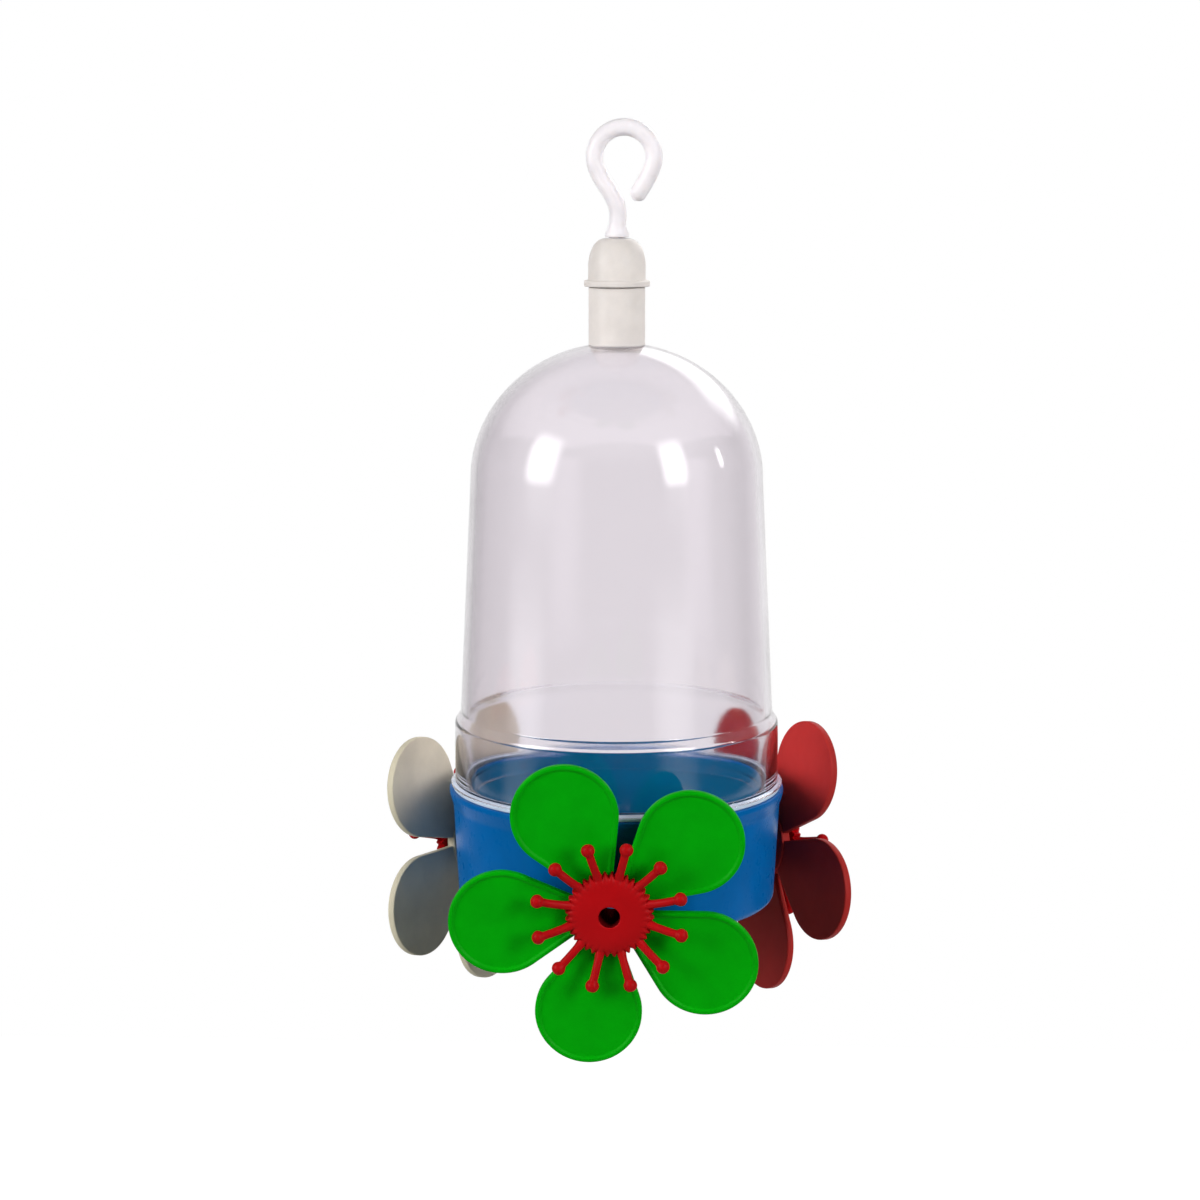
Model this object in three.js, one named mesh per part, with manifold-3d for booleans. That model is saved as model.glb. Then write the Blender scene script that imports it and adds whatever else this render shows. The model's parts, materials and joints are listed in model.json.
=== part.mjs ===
// A hanging hummingbird feeder. A clear domed reservoir screws into a round base, three flowers sit on
// the base's spouts behind push-in feeding nozzles, and a hook swivels in the cap on the reservoir's neck.
// Millimetres, +Z up. The origin is the point it hangs from, inside the hook's eye straight above the axis.
// The front flower faces -Y. Inside the model, heights are measured from the underside of the base.
import * as THREE from "three";
import { mergeVertices } from "three/addons/utils/BufferGeometryUtils.js";
import Module from "manifold-3d";

const wasm = await Module();
wasm.setup();

// Clearances
const SEAT_GAP = 0.2; // between faces that rest on each other
const PLUG_GAP = 0.25; // around a plug pushed into its socket
const SWIVEL_GAP = 0.3; // around and between pieces that turn
const THREAD_GAP = 0.3; // between the reservoir's foot and the base's socket

// Base cup
const BASE_HEIGHT = 28.3;
const BASE_FOOT_RADIUS = 38.8; // outside, at the underside
const BASE_TOP_RADIUS = 40.1; // outside, just below the rim's bead
const BASE_WALL = 1.8;
const BASE_FLOOR = 2;
const FOOT_ROUNDING = 2;
const FOOT_RING_WIDTH = 3;
const FOOT_RECESS = 0.8;
const RIM_OVERHANG = 0.9; // of the bead round the rim
const RIM_EDGE = 1.2; // upright edge of the bead
const SOCKET_DEPTH = 6; // straight inside below the rim, for the reservoir's foot

// Seal on the rim, under the reservoir's lip
const SEAL_THICKNESS = 0.6;
const SEAL_INSET = 0.3; // from the rim's edge

// Spouts around the base
const SPOUT_HEIGHT = 8.8; // of a spout's axis where it leaves the wall
const SPOUT_DROOP = 5; // degrees below level
const SPOUT_PROJECTION = 3.3; // from the wall
const SPOUT_RADIUS = 5.6;
const SPOUT_WALL = 1.3;
const SPOUT_ROOT_FLARE = 1.2; // added to the radius where the spout meets the wall

// Flowers
const PETAL_COUNT = 5;
const PETAL_RADIUS = 12.5; // of the round end
const PETAL_REACH = 25.2; // from the flower's axis to the middle of the round end
const PETAL_ROOT_RADIUS = 3.4;
const PETAL_ROOT_REACH = 7;
const PETAL_THICKNESS = 1.5;
const PETAL_CUP = 0.8; // how far the tips bend forward
const PETAL_BEAD = 0.4; // height of the raised edge
const PETAL_BEAD_WIDTH = 1.3;
const FLOWER_HUB_RADIUS = 8.6;
const FLOWER_HUB_THICKNESS = 2.4;

// Feeding nozzles
const NOZZLE_BORE_RADIUS = 2.45;
const NOZZLE_INNER_REACH = 1.2; // of the tube past the base's inner wall
const NOZZLE_CHAMFER = 0.6;
const CROWN_RADIUS = 10.3;
const CROWN_EDGE = 1.5;
const CROWN_RISE = 3.4;
const CROWN_LIP = 0.8; // flat ring around the hole
const FILAMENT_COUNT = 12;
const FILAMENT_ROOT_RADIUS = 1.3;
const FILAMENT_RADIUS = 0.95;
const FILAMENT_REACH = 18.6; // from the nozzle's axis to the tip
const FILAMENT_LIFT = 3.8; // of the tip above the crown's back
const FILAMENT_TURN = 16.5; // degrees from level to the first one
const ANTHER_RADIUS = 1.6;

// Reservoir
const RESERVOIR_WALL = 1.7;
const INSERT_DEPTH = 5; // of the foot that screws into the base, below its rim
const SKIRT_OVERHANG = 1.6; // of the skirt beyond that foot
const LIP_OVERHANG = 1.1; // of the lip that rests on the seal, beyond the skirt
const LIP_EDGE = 0.3; // upright edge of the lip
const LIP_HEIGHT = 0.6; // of the whole lip, up to where it meets the skirt
const SKIRT_HEIGHT = 14.8; // of the wide skirt above the base's rim
const STEP_HEIGHT = 5.5; // of the curve from the skirt to the body
const STEP_INSET = 1.5;
const BODY_HEIGHT = 55.5;
const BODY_TAPER = 2.7; // radius lost from the step to the dome
const DOME_RISE = 32.7;
const LAND_MARGIN = 0.7; // of the flat seat on the dome, around the sleeve
const LAND_RISE = 0.1;

// Neck sleeve, hanger cap and hook
const SLEEVE_RADIUS = 6.8;
const SLEEVE_WALL = 1.7;
const SLEEVE_HEIGHT = 13.6;
const SLEEVE_TOP = 2.8; // thickness of its closed top
const NECK_WALL = 1.5;
const SPIGOT_HEIGHT = 2.6;
const CAP_RADIUS = 6.9;
const CAP_WALL = 1.5;
const CAP_SIDE = 4.8; // height of the straight side, flange included
const CAP_CROWN = 6.6; // height of the rounded top
const CAP_FACE_RADIUS = 3; // flat ring around the hook's stem
const CAP_CEILING = 2.4;
const CAP_CHAMFER = 2.5; // of the hollow's upper corner
const FLANGE_OVERHANG = 1;
const FLANGE_HEIGHT = 1.5;
const HOOK_WIRE_RADIUS = 2;
const HOOK_HEAD_OVERHANG = 1.4; // head beyond the hole in the cap
const HOOK_HEAD_HEIGHT = 2;
const HOOK_FOOT_OVERHANG = 0.9; // shoulder above the cap, beyond the stem
const HOOK_FOOT_EDGE = 0.8;
const HOOK_FOOT_HEIGHT = 5;
const HOOK_STEM = 7.5; // from the cap to the first bend
const EYE_RADIUS = 7.1; // to the middle of the wire
const EYE_RISE = 11.63; // from the first bend to the middle of the eye
const EYE_OFFSET = 1.7; // of the eye's middle from the stem, towards the open side
const EYE_START = 213; // degrees where the stem runs into the eye
const EYE_END = -30; // degrees where the tip leaves the eye
const HOOK_TIP = 7.6; // straight length after the eye
const HOOK_TIP_RADIUS = 0.8; // of the tip's blunt end

// Facets
const LARGE_SIDES = 36;
const SMALL_SIDES = 20;
const WIRE_SIDES = 10;
const WIRE_RINGS = 32;
const EYE_STEPS = 9;
const FILAMENT_SIDES = 5;
const PETAL_POINTS = 22;
const DOME_STEPS = 7;
const CURVE_STEPS = 5;
const ROUNDING_STEPS = 2;
const MERGE_DISTANCE = 1e-4;
const CUT_MARGIN = 1; // how far a cutting solid runs past what it cuts

// Worked-out sizes, from the base upwards
const rimRadius = BASE_TOP_RADIUS + RIM_OVERHANG;
const wallTop = BASE_HEIGHT - RIM_EDGE - RIM_OVERHANG;
const socketRadius = BASE_TOP_RADIUS - BASE_WALL;
const socketBottom = BASE_HEIGHT - SOCKET_DEPTH;
const cupFloorRadius = BASE_FOOT_RADIUS - BASE_WALL;
const insertRadius = socketRadius - THREAD_GAP;
const insertInnerRadius = insertRadius - RESERVOIR_WALL;
const insertBottom = BASE_HEIGHT - INSERT_DEPTH;
const sealBottom = BASE_HEIGHT + SEAT_GAP;
const sealTop = sealBottom + SEAL_THICKNESS;
const skirtRadius = insertRadius + SKIRT_OVERHANG;
const skirtInnerRadius = skirtRadius - RESERVOIR_WALL;
const lipRadius = skirtRadius + LIP_OVERHANG;
const lipBottom = sealTop + SEAT_GAP;
const lipTop = lipBottom + LIP_HEIGHT;
const stepTop = BASE_HEIGHT + SKIRT_HEIGHT + STEP_HEIGHT;
const bodyLowRadius = skirtRadius - STEP_INSET;
const bodyHighRadius = bodyLowRadius - BODY_TAPER;
const domeBottom = stepTop + BODY_HEIGHT;
const landRadius = SLEEVE_RADIUS + LAND_MARGIN;
const landShare = landRadius / bodyHighRadius;
const landTop = domeBottom + DOME_RISE * Math.sqrt(1 - landShare ** 2) + LAND_RISE;
const sleeveBore = SLEEVE_RADIUS - SLEEVE_WALL;
const neckRadius = sleeveBore - PLUG_GAP;
const sleeveBottom = landTop + SEAT_GAP;
const sleeveTop = sleeveBottom + SLEEVE_HEIGHT;
const boreTop = sleeveTop - SLEEVE_TOP;
const neckTop = boreTop - SEAT_GAP;
const capBottom = sleeveTop + SEAT_GAP;
const capTop = capBottom + CAP_SIDE + CAP_CROWN;
const capBore = CAP_RADIUS - CAP_WALL;
const capCeiling = capTop - CAP_CEILING;
const spigotRadius = capBore - PLUG_GAP;
const stemHole = HOOK_WIRE_RADIUS + SWIVEL_GAP;
const headRadius = stemHole + HOOK_HEAD_OVERHANG;
const headTop = capCeiling - SWIVEL_GAP;
const hookFoot = capTop + SWIVEL_GAP;
const bendHeight = capTop + HOOK_STEM;
const eyeHeight = bendHeight + EYE_RISE;
const eyeInnerRadius = EYE_RADIUS - HOOK_WIRE_RADIUS;
const hangHeight = eyeHeight + Math.sqrt(eyeInnerRadius ** 2 - EYE_OFFSET ** 2);

// Worked-out sizes along a spout's axis, from the spout's open end outwards
const spoutBore = SPOUT_RADIUS - SPOUT_WALL;
const tubeRadius = spoutBore - PLUG_GAP;
const flowerBore = tubeRadius + SWIVEL_GAP;
const flowerBack = SWIVEL_GAP;
const flowerFront = flowerBack + FLOWER_HUB_THICKNESS;
const petalPlane = (flowerBack + flowerFront) / 2;
const crownBack = flowerFront + SWIVEL_GAP;
const crownFront = crownBack + CROWN_RISE;
const wallShare = SPOUT_HEIGHT / wallTop;
const wallRadius = BASE_FOOT_RADIUS + (BASE_TOP_RADIUS - BASE_FOOT_RADIUS) * wallShare;
const spoutRoot = -SPOUT_PROJECTION - wallRadius / 2;
const tubeEnd = -SPOUT_PROJECTION - BASE_WALL - NOZZLE_INNER_REACH;

// Moulded plastics, with the colours of the real pieces
function plastic(colour, roughness, opacity = 1) {
  const transparent = opacity < 1;
  return new THREE.MeshStandardMaterial({ color: colour, roughness, metalness: 0, opacity, transparent });
}

const clearPlastic = plastic("#e9e6ee", 0.08, 0.35);
const bluePlastic = plastic("#0a58a6", 0.3);
const whitePlastic = plastic("#ece7df", 0.5);
const hookPlastic = plastic("#efe9ec", 0.4);
const redPlastic = plastic("#b01212", 0.45);
const sealRubber = plastic("#d9d6d0", 0.8);

// The flowers, counted from the front one towards the right as the feeder is seen from the front.
// The turn is that of one petal from level, in degrees, anticlockwise as the flower is faced.
const flowers = [
  { place: "front", colour: "green", turn: 42.4, material: plastic("#0a9a0a", 0.5) },
  { place: "right", colour: "red", turn: 51, material: plastic("#b3262a", 0.5) },
  { place: "left", colour: "white", turn: 43, material: plastic("#d9d0c2", 0.5) },
];

const radians = THREE.MathUtils.degToRad;
const degrees = THREE.MathUtils.radToDeg;
const point = (radius, height) => new THREE.Vector2(radius, height);

// Points of an elliptical arc in a profile, with angles in degrees from the outward direction.
function arc(centre, radiusOut, radiusUp, from, to, steps = CURVE_STEPS) {
  const points = [];
  for (let step = 0; step <= steps; step += 1) {
    const angle = radians(from + ((to - from) * step) / steps);
    points.push(point(centre.x + radiusOut * Math.cos(angle), centre.y + radiusUp * Math.sin(angle)));
  }
  return points;
}

// A closed geometry as a solid. Triangles that shrink to nothing on an axis are dropped.
function solidFrom(geometry) {
  const bare = new THREE.BufferGeometry();
  bare.setAttribute("position", geometry.getAttribute("position"));
  bare.setIndex(geometry.index);
  const merged = mergeVertices(bare, MERGE_DISTANCE);
  const corners = merged.index.array;
  const kept = [];
  for (let i = 0; i < corners.length; i += 3) {
    const [a, b, c] = corners.slice(i, i + 3);
    if (a !== b && b !== c && c !== a) kept.push(a, b, c);
  }
  const vertProperties = merged.attributes.position.array;
  const triVerts = new Uint32Array(kept);
  return new wasm.Manifold(new wasm.Mesh({ numProp: 3, vertProperties, triVerts }));
}

function geometryFrom(solid) {
  const mesh = solid.getMesh();
  const geometry = new THREE.BufferGeometry();
  geometry.setAttribute("position", new THREE.BufferAttribute(mesh.vertProperties, 3));
  geometry.setIndex(new THREE.BufferAttribute(mesh.triVerts, 1));
  geometry.computeVertexNormals();
  return geometry;
}

// A solid of revolution about Z. The profile runs anticlockwise around its material.
function revolve(profile, sides) {
  const geometry = new THREE.LatheGeometry(profile, sides);
  geometry.rotateX(Math.PI / 2);
  return solidFrom(geometry);
}

// A plain round bar along Z.
function bar(radius, bottom, top) {
  const profile = [point(0, bottom), point(radius, bottom), point(radius, top), point(0, top)];
  return revolve(profile, SMALL_SIDES);
}

// Copies of a solid, turned about Z by equal steps and joined to another.
function joinAround(solid, copy, count, firstTurn = 0) {
  const geometry = geometryFrom(copy);
  let joined = solid;
  for (let index = 0; index < count; index += 1) {
    const turned = geometry.clone();
    turned.rotateZ(firstTurn + (2 * Math.PI * index) / count);
    joined = joined.add(solidFrom(turned));
  }
  return joined;
}

// A closed skin over rings of points, from a first point to a last one. Each ring has the same count
// and runs anticlockwise as it is seen along the way from the first point.
function loft(first, rings, last) {
  const count = rings[0].length;
  const vertices = [first, ...rings.flat(), last];
  const end = vertices.length - 1;
  const triangles = [];
  for (let side = 0; side < count; side += 1) {
    const next = (side + 1) % count;
    triangles.push(0, 1 + side, 1 + next);
    for (let ring = 0; ring + 1 < rings.length; ring += 1) {
      const here = 1 + ring * count;
      const beyond = here + count;
      triangles.push(here + side, beyond + side, beyond + next);
      triangles.push(here + side, beyond + next, here + next);
    }
    const tail = 1 + (rings.length - 1) * count;
    triangles.push(tail + side, end, tail + next);
  }
  const geometry = new THREE.BufferGeometry().setFromPoints(vertices);
  geometry.setIndex(triangles);
  return solidFrom(geometry);
}

// A round tube along a curve, with its radius given by the share of the curve's length.
function taperedTube(curve, radiusAt, ringCount, sides) {
  const frames = curve.computeFrenetFrames(ringCount, false);
  const rings = [];
  for (let ring = 0; ring <= ringCount; ring += 1) {
    const along = ring / ringCount;
    const points = [];
    for (let side = 0; side < sides; side += 1) {
      const angle = (-2 * Math.PI * side) / sides;
      const spoke = new THREE.Vector3();
      spoke.addScaledVector(frames.normals[ring], Math.cos(angle));
      spoke.addScaledVector(frames.binormals[ring], Math.sin(angle));
      points.push(curve.getPointAt(along).addScaledVector(spoke, radiusAt(along)));
    }
    rings.push(points);
  }
  return loft(curve.getPointAt(0), rings, curve.getPointAt(1));
}

// The frame of a spout: its own Z points out of the base along the spout, its own Y points up, and its
// origin is the middle of the spout's open end.
function spoutFrame(index) {
  const around = new THREE.Matrix4().makeRotationZ((2 * Math.PI * index) / flowers.length);
  const atWall = new THREE.Matrix4().makeTranslation(0, -wallRadius, SPOUT_HEIGHT);
  const tipped = new THREE.Matrix4().makeRotationX(Math.PI / 2 + radians(SPOUT_DROOP));
  const atEnd = new THREE.Matrix4().makeTranslation(0, 0, SPOUT_PROJECTION);
  return around.multiply(atWall).multiply(tipped).multiply(atEnd);
}

function alongSpout(solid, index) {
  const geometry = geometryFrom(solid);
  geometry.applyMatrix4(spoutFrame(index));
  return solidFrom(geometry);
}

// One spout along its own axis, flared where it meets the wall, with its root deep inside the cup.
function spoutSolid() {
  const rootRadius = SPOUT_RADIUS + SPOUT_ROOT_FLARE;
  const profile = [
    point(0, spoutRoot),
    point(rootRadius, spoutRoot),
    point(rootRadius, -SPOUT_PROJECTION),
    point(SPOUT_RADIUS, -SPOUT_PROJECTION + SPOUT_ROOT_FLARE),
    point(SPOUT_RADIUS, 0),
    point(0, 0),
  ];
  return revolve(profile, SMALL_SIDES);
}

// Base cup: a tapered dish with a foot ring, a beaded rim, a socket for the reservoir and open spouts.
function baseCup() {
  const footEdge = BASE_FOOT_RADIUS - FOOT_ROUNDING;
  const footInner = footEdge - FOOT_RING_WIDTH;
  const footCorner = point(footEdge, FOOT_ROUNDING);
  const floorCorner = point(cupFloorRadius - FOOT_ROUNDING, BASE_FLOOR + FOOT_ROUNDING);
  const outside = [
    point(0, FOOT_RECESS),
    point(footInner, FOOT_RECESS),
    point(footInner, 0),
    ...arc(footCorner, FOOT_ROUNDING, FOOT_ROUNDING, -90, 0, ROUNDING_STEPS),
    point(BASE_TOP_RADIUS, wallTop),
    point(rimRadius, wallTop + RIM_OVERHANG),
    point(rimRadius, BASE_HEIGHT),
    point(0, BASE_HEIGHT),
  ];
  const inside = [
    point(0, BASE_FLOOR),
    ...arc(floorCorner, FOOT_ROUNDING, FOOT_ROUNDING, -90, 0, ROUNDING_STEPS),
    point(socketRadius, socketBottom),
    point(socketRadius, BASE_HEIGHT + CUT_MARGIN),
    point(0, BASE_HEIGHT + CUT_MARGIN),
  ];
  let cup = revolve(outside, LARGE_SIDES);
  flowers.forEach((flower, index) => {
    cup = cup.add(alongSpout(spoutSolid(), index));
  });
  cup = cup.subtract(revolve(inside, LARGE_SIDES));
  flowers.forEach((flower, index) => {
    cup = cup.subtract(alongSpout(bar(spoutBore, spoutRoot, CUT_MARGIN), index));
  });
  return cup;
}

// Flat seal ring on the rim, around the reservoir's foot.
function sealRing() {
  const inner = insertRadius + PLUG_GAP;
  const outer = rimRadius - SEAL_INSET;
  const profile = [
    point(inner, sealBottom),
    point(outer, sealBottom),
    point(outer, sealTop),
    point(inner, sealTop),
  ];
  return revolve([...profile, profile[0]], LARGE_SIDES);
}

// The S-shaped step between the body's radius and the skirt's, from its upper end to its lower one.
function stepCurve(upperRadius, lowerRadius) {
  const points = [];
  for (let step = 0; step <= CURVE_STEPS; step += 1) {
    const share = step / CURVE_STEPS;
    const eased = (1 - Math.cos(Math.PI * share)) / 2;
    const radius = upperRadius + (lowerRadius - upperRadius) * eased;
    points.push(point(radius, stepTop - STEP_HEIGHT * share));
  }
  return points;
}

// Reservoir: a clear bell with a stepped skirt, a lip and a foot below, and a closed neck above.
function reservoirDome() {
  const innerRise = DOME_RISE - RESERVOIR_WALL;
  const innerRadius = bodyHighRadius - RESERVOIR_WALL;
  const neckInner = neckRadius - NECK_WALL;
  const landAngle = degrees(Math.acos(landRadius / bodyHighRadius));
  const neckAngle = degrees(Math.acos(neckInner / innerRadius));
  const middle = point(0, domeBottom);
  const inside = [
    point(0, neckTop - NECK_WALL),
    point(neckInner, neckTop - NECK_WALL),
    ...arc(middle, innerRadius, innerRise, neckAngle, 0, DOME_STEPS),
    ...stepCurve(bodyLowRadius - RESERVOIR_WALL, skirtInnerRadius),
    point(skirtInnerRadius, lipTop),
    point(insertInnerRadius, lipBottom),
    point(insertInnerRadius, insertBottom),
  ];
  const outside = [
    point(insertRadius, insertBottom),
    point(insertRadius, lipBottom),
    point(lipRadius, lipBottom),
    point(lipRadius, lipBottom + LIP_EDGE),
    point(skirtRadius, lipTop),
    ...stepCurve(bodyLowRadius, skirtRadius).reverse(),
    ...arc(middle, bodyHighRadius, DOME_RISE, 0, landAngle, DOME_STEPS),
    point(landRadius, landTop),
    point(neckRadius, landTop),
    point(neckRadius, neckTop),
    point(0, neckTop),
  ];
  return revolve([...inside, ...outside], LARGE_SIDES);
}

// Sleeve pressed over the neck, with a spigot on its closed top for the hanger cap.
function neckSleeve() {
  const profile = [
    point(0, boreTop),
    point(sleeveBore, boreTop),
    point(sleeveBore, sleeveBottom),
    point(SLEEVE_RADIUS, sleeveBottom),
    point(SLEEVE_RADIUS, sleeveTop),
    point(spigotRadius, sleeveTop),
    point(spigotRadius, sleeveTop + SPIGOT_HEIGHT),
    point(0, sleeveTop + SPIGOT_HEIGHT),
  ];
  return revolve(profile, SMALL_SIDES);
}

// Round-topped cap with a flange, hollow for the hook's head and open at the top for its stem.
function hangerCap() {
  const flangeRadius = CAP_RADIUS + FLANGE_OVERHANG;
  const shoulder = point(CAP_FACE_RADIUS, capBottom + CAP_SIDE);
  const profile = [
    point(capBore, capBottom),
    point(flangeRadius, capBottom),
    point(flangeRadius, capBottom + FLANGE_HEIGHT),
    point(CAP_RADIUS, capBottom + FLANGE_HEIGHT),
    ...arc(shoulder, CAP_RADIUS - CAP_FACE_RADIUS, CAP_CROWN, 0, 90),
    point(stemHole, capTop),
    point(stemHole, capCeiling),
    point(headRadius + SWIVEL_GAP, capCeiling),
    point(capBore, capCeiling - CAP_CHAMFER),
  ];
  return revolve([...profile, profile[0]], SMALL_SIDES);
}

// Middle line of the hook: up the stem, round the eye and down to the tip, in the plane of X and Z.
function hookLine() {
  const inPlane = (x, z) => new THREE.Vector3(x, 0, z);
  const onEye = (turn) => {
    const across = EYE_OFFSET + EYE_RADIUS * Math.cos(turn);
    return inPlane(across, eyeHeight + EYE_RADIUS * Math.sin(turn));
  };
  const start = radians(EYE_START);
  const end = radians(EYE_END);
  const points = [inPlane(0, hookFoot + HOOK_FOOT_EDGE), inPlane(0, bendHeight)];
  for (let step = 0; step <= EYE_STEPS; step += 1) {
    points.push(onEye(start + ((end - start) * step) / EYE_STEPS));
  }
  const leaving = inPlane(Math.sin(end), -Math.cos(end));
  points.push(onEye(end).addScaledVector(leaving, HOOK_TIP));
  return new THREE.CatmullRomCurve3(points, false, "centripetal");
}

// Hook: round wire with a rounded tip, a shoulder above the cap and a head caught inside it.
function hookSolid() {
  const line = hookLine();
  const tipShare = HOOK_WIRE_RADIUS / line.getLength();
  const tipLoss = 1 - (HOOK_TIP_RADIUS / HOOK_WIRE_RADIUS) ** 2;
  const wireRadius = (along) => {
    const intoTip = Math.max(0, (along - 1 + tipShare) / tipShare);
    return HOOK_WIRE_RADIUS * Math.sqrt(1 - tipLoss * intoTip * intoTip);
  };
  const footRadius = HOOK_WIRE_RADIUS + HOOK_FOOT_OVERHANG;
  const stem = [
    point(0, headTop - HOOK_HEAD_HEIGHT),
    point(headRadius, headTop - HOOK_HEAD_HEIGHT),
    point(headRadius, headTop),
    point(HOOK_WIRE_RADIUS, headTop),
    point(HOOK_WIRE_RADIUS, hookFoot),
    point(footRadius, hookFoot),
    point(footRadius, hookFoot + HOOK_FOOT_EDGE),
    point(HOOK_WIRE_RADIUS / 2, hookFoot + HOOK_FOOT_HEIGHT),
    point(0, hookFoot + HOOK_FOOT_HEIGHT),
  ];
  return taperedTube(line, wireRadius, WIRE_RINGS, WIRE_SIDES).add(revolve(stem, SMALL_SIDES));
}

// One petal along +X: two circles joined by their outer tangents, cupped, with a raised edge in front.
function petalSolid() {
  const spread = Math.asin((PETAL_RADIUS - PETAL_ROOT_RADIUS) / (PETAL_REACH - PETAL_ROOT_REACH));
  const turn = Math.PI / 2 + spread;
  const outline = new THREE.Path();
  outline.absarc(PETAL_REACH, 0, PETAL_RADIUS, -turn, turn, false);
  outline.absarc(PETAL_ROOT_REACH, 0, PETAL_ROOT_RADIUS, turn, 2 * Math.PI - turn, false);
  outline.closePath();
  const edge = outline.getSpacedPoints(PETAL_POINTS).slice(0, PETAL_POINTS);
  const middle = point(PETAL_REACH, 0);
  const onPetal = ({ x, y }, offset) => {
    const share = Math.hypot(x, y) / (PETAL_REACH + PETAL_RADIUS);
    return new THREE.Vector3(x, y, petalPlane + PETAL_CUP * share * share + offset);
  };
  const ring = (share, offset) => edge.map((corner) => onPetal(middle.clone().lerp(corner, share), offset));
  const half = PETAL_THICKNESS / 2;
  const beadFoot = 1 - PETAL_BEAD_WIDTH / PETAL_RADIUS;
  const rings = [ring(beadFoot, half), ring(1, half + PETAL_BEAD), ring(1, -half)];
  return loft(onPetal(middle, half), rings, onPetal(middle, -half));
}

// Flower: petals around a hub that turns on the nozzle's tube.
function flowerSolid() {
  const hub = bar(FLOWER_HUB_RADIUS, flowerBack, flowerFront);
  const hole = bar(flowerBore, flowerBack - CUT_MARGIN, crownFront);
  return joinAround(hub, petalSolid(), PETAL_COUNT).subtract(hole);
}

// One filament of the crown along +X, from inside the crown's edge out to a rounded anther.
function filamentSolid() {
  const root = new THREE.Vector3(CROWN_RADIUS - FILAMENT_ROOT_RADIUS, 0, crownBack + FILAMENT_ROOT_RADIUS);
  const tip = new THREE.Vector3(FILAMENT_REACH, 0, crownBack + FILAMENT_LIFT);
  const bend = new THREE.Vector3((root.x + tip.x) / 2, 0, tip.z);
  const line = new THREE.QuadraticBezierCurve3(root, bend, tip);
  const neck = FILAMENT_RADIUS;
  const radii = [FILAMENT_ROOT_RADIUS, neck, neck, neck, ANTHER_RADIUS, neck];
  const steps = radii.length - 1;
  return taperedTube(line, (along) => radii[Math.round(along * steps)], steps, FILAMENT_SIDES);
}

// Nozzle: a tube that plugs into the spout, with a domed crown of filaments around its feeding hole.
function nozzleSolid() {
  const faceRadius = NOZZLE_BORE_RADIUS + CROWN_LIP;
  const shoulder = point(faceRadius, crownBack + CROWN_EDGE);
  const profile = [
    point(NOZZLE_BORE_RADIUS, tubeEnd),
    point(tubeRadius - NOZZLE_CHAMFER, tubeEnd),
    point(tubeRadius, tubeEnd + NOZZLE_CHAMFER),
    point(tubeRadius, crownBack),
    point(CROWN_RADIUS, crownBack),
    ...arc(shoulder, CROWN_RADIUS - faceRadius, CROWN_RISE - CROWN_EDGE, 0, 90),
    point(NOZZLE_BORE_RADIUS, crownFront),
  ];
  const nozzle = revolve([...profile, profile[0]], SMALL_SIDES);
  return joinAround(nozzle, filamentSolid(), FILAMENT_COUNT, radians(FILAMENT_TURN));
}

function named(name, solid, material) {
  const mesh = new THREE.Mesh(geometryFrom(solid), material);
  mesh.name = name;
  return mesh;
}

// Assembly
const feeder = new THREE.Group();
feeder.position.z = -hangHeight;
feeder.add(named("base_cup", baseCup(), bluePlastic));
feeder.add(named("seal_ring", sealRing(), sealRubber));
feeder.add(named("reservoir_dome", reservoirDome(), clearPlastic));
feeder.add(named("neck_sleeve", neckSleeve(), whitePlastic));
feeder.add(named("hanger_cap", hangerCap(), whitePlastic));
feeder.add(named("hook", hookSolid(), hookPlastic));

flowers.forEach(({ place, colour, turn, material }, index) => {
  const spout = new THREE.Group();
  spout.applyMatrix4(spoutFrame(index));
  const flower = named(`flower_${colour}`, flowerSolid(), material);
  flower.rotation.z = radians(turn);
  spout.add(flower);
  spout.add(named(`nozzle_${place}`, nozzleSolid(), redPlastic));
  feeder.add(spout);
});

const part = new THREE.Group();
part.add(feeder);

export default part;
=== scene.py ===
"""A hanging hummingbird feeder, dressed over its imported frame.

Meshes are built in millimetres and scaled to metres. Heights are measured from the underside of the base,
whose place comes from the frame. A flower and its nozzle are built along +Z of their own spout, from the
spout's open end outwards, with +Y up. Lamps, floor and textures are in metres.
"""
import json
import math

import bmesh
import bpy
import numpy as np
from mathutils import Matrix, Vector


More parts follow.
